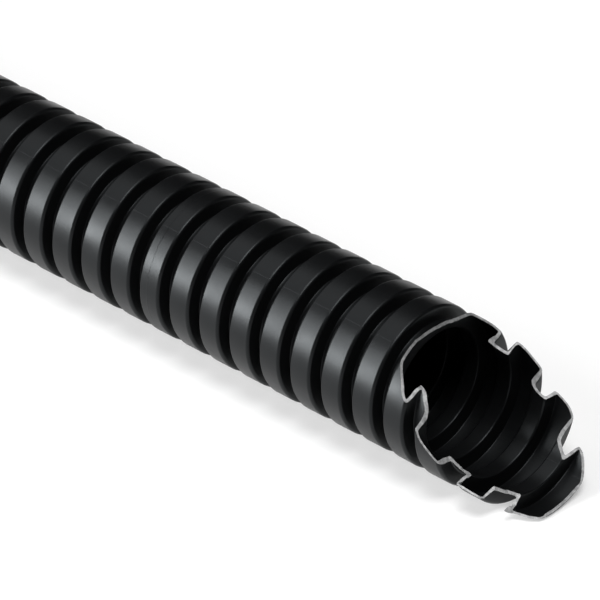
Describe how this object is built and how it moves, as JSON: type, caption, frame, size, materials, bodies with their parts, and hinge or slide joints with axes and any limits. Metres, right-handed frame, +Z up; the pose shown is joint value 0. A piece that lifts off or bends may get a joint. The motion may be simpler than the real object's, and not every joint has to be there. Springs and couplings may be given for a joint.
{
  "type": "corrugated conduit",
  "caption": "Straight length of corrugated pliable plastic conduit with flat-topped ring waves, one end square and the other cut off on the slant.",
  "frame": {"origin": "on the floor, under the middle of the tube's length, where its lowest line touches", "axes": "+X along the tube towards the slanting cut, +Z up, the long lip of the cut 10 degrees from straight down, towards +Y"},
  "size_m": [0.9998, 0.025, 0.025],
  "materials": {
    "black_plastic": "satin black moulded plastic, pale and rough where it was sawn"
  },
  "bodies": {
    "root": {"conduit": "black_plastic"}
  },
  "joints": []
}
